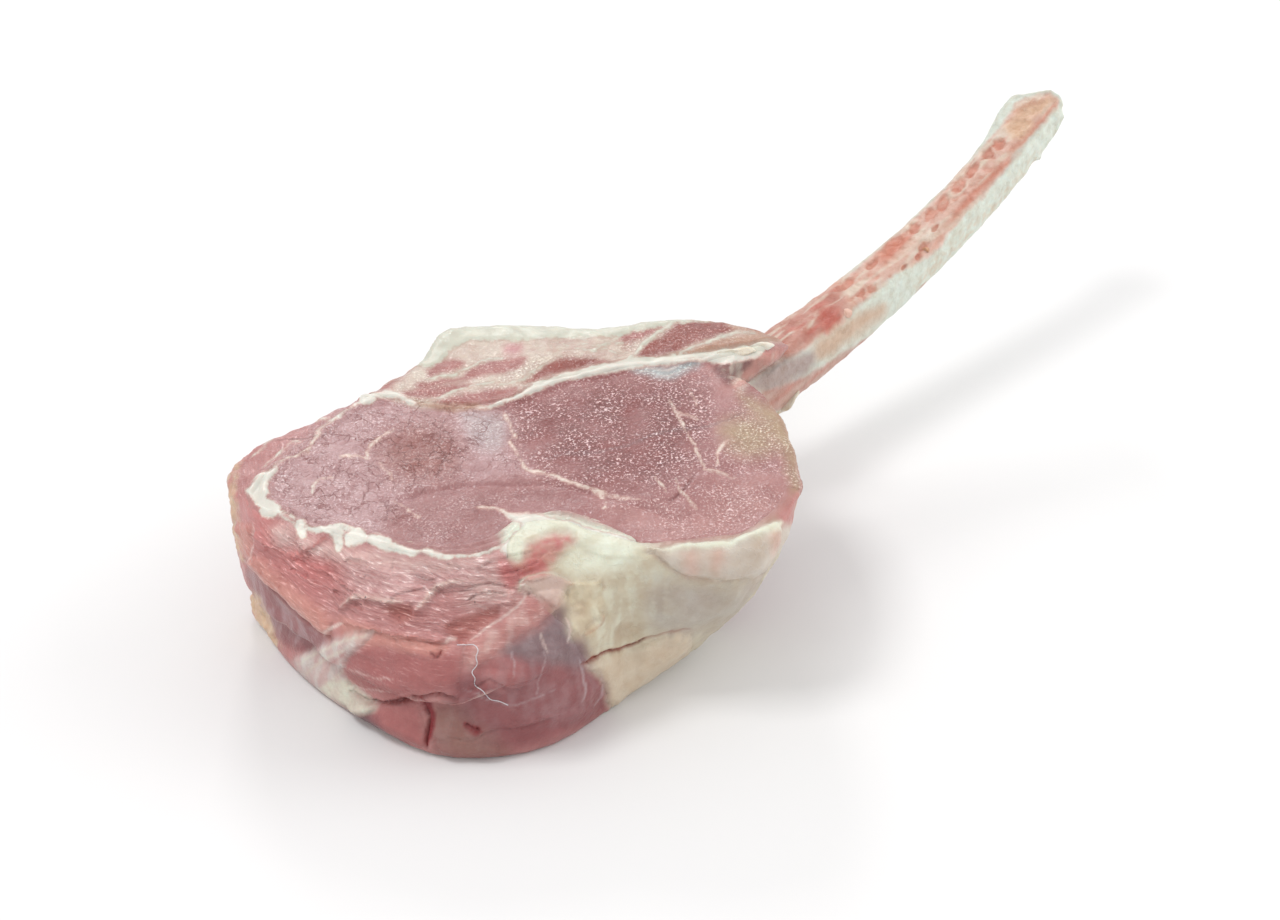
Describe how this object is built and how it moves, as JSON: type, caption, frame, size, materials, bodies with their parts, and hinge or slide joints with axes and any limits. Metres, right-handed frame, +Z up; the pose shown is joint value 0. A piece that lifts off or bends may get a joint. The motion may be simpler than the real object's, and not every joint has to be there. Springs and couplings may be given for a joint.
{
  "type": "raw tomahawk steak",
  "caption": "Thick raw rib steak lying on its cut face, with muscles parted by fat seams, a fat cap along the front right side and a long, bare, sawn rib bone that rises to the back right.",
  "frame": {"origin": "on the lower cut face that the steak rests on, under the middle of the meat", "axes": "+Z up from the resting face; +X to the right and +Y to the back as the picture shows it, with the bone towards +X and +Y"},
  "size_m": [0.2417, 0.2326, 0.074],
  "materials": {
    "eye_lean": "moist cut lean, rose with a grey-pink left lobe and fine marbling",
    "outer_lean": "moist torn lean, pink red, purple brown below its ledge",
    "strip_lean": "moist lean leaves marbled with cream fat",
    "seam_fat": "soft white fat",
    "cap_fat": "soft cream fat, pinkish along its rolled upper edge",
    "bone": "sawn bone, white at the edges with red marrow cells between"
  },
  "bodies": {
    "root": {"eye_muscle": "eye_lean", "outer_muscle": "outer_lean", "rib_strip": "strip_lean", "strip_seam": "seam_fat", "rim_seam": "seam_fat", "fat_cap": "cap_fat", "rib_bone": "bone"}
  },
  "joints": []
}
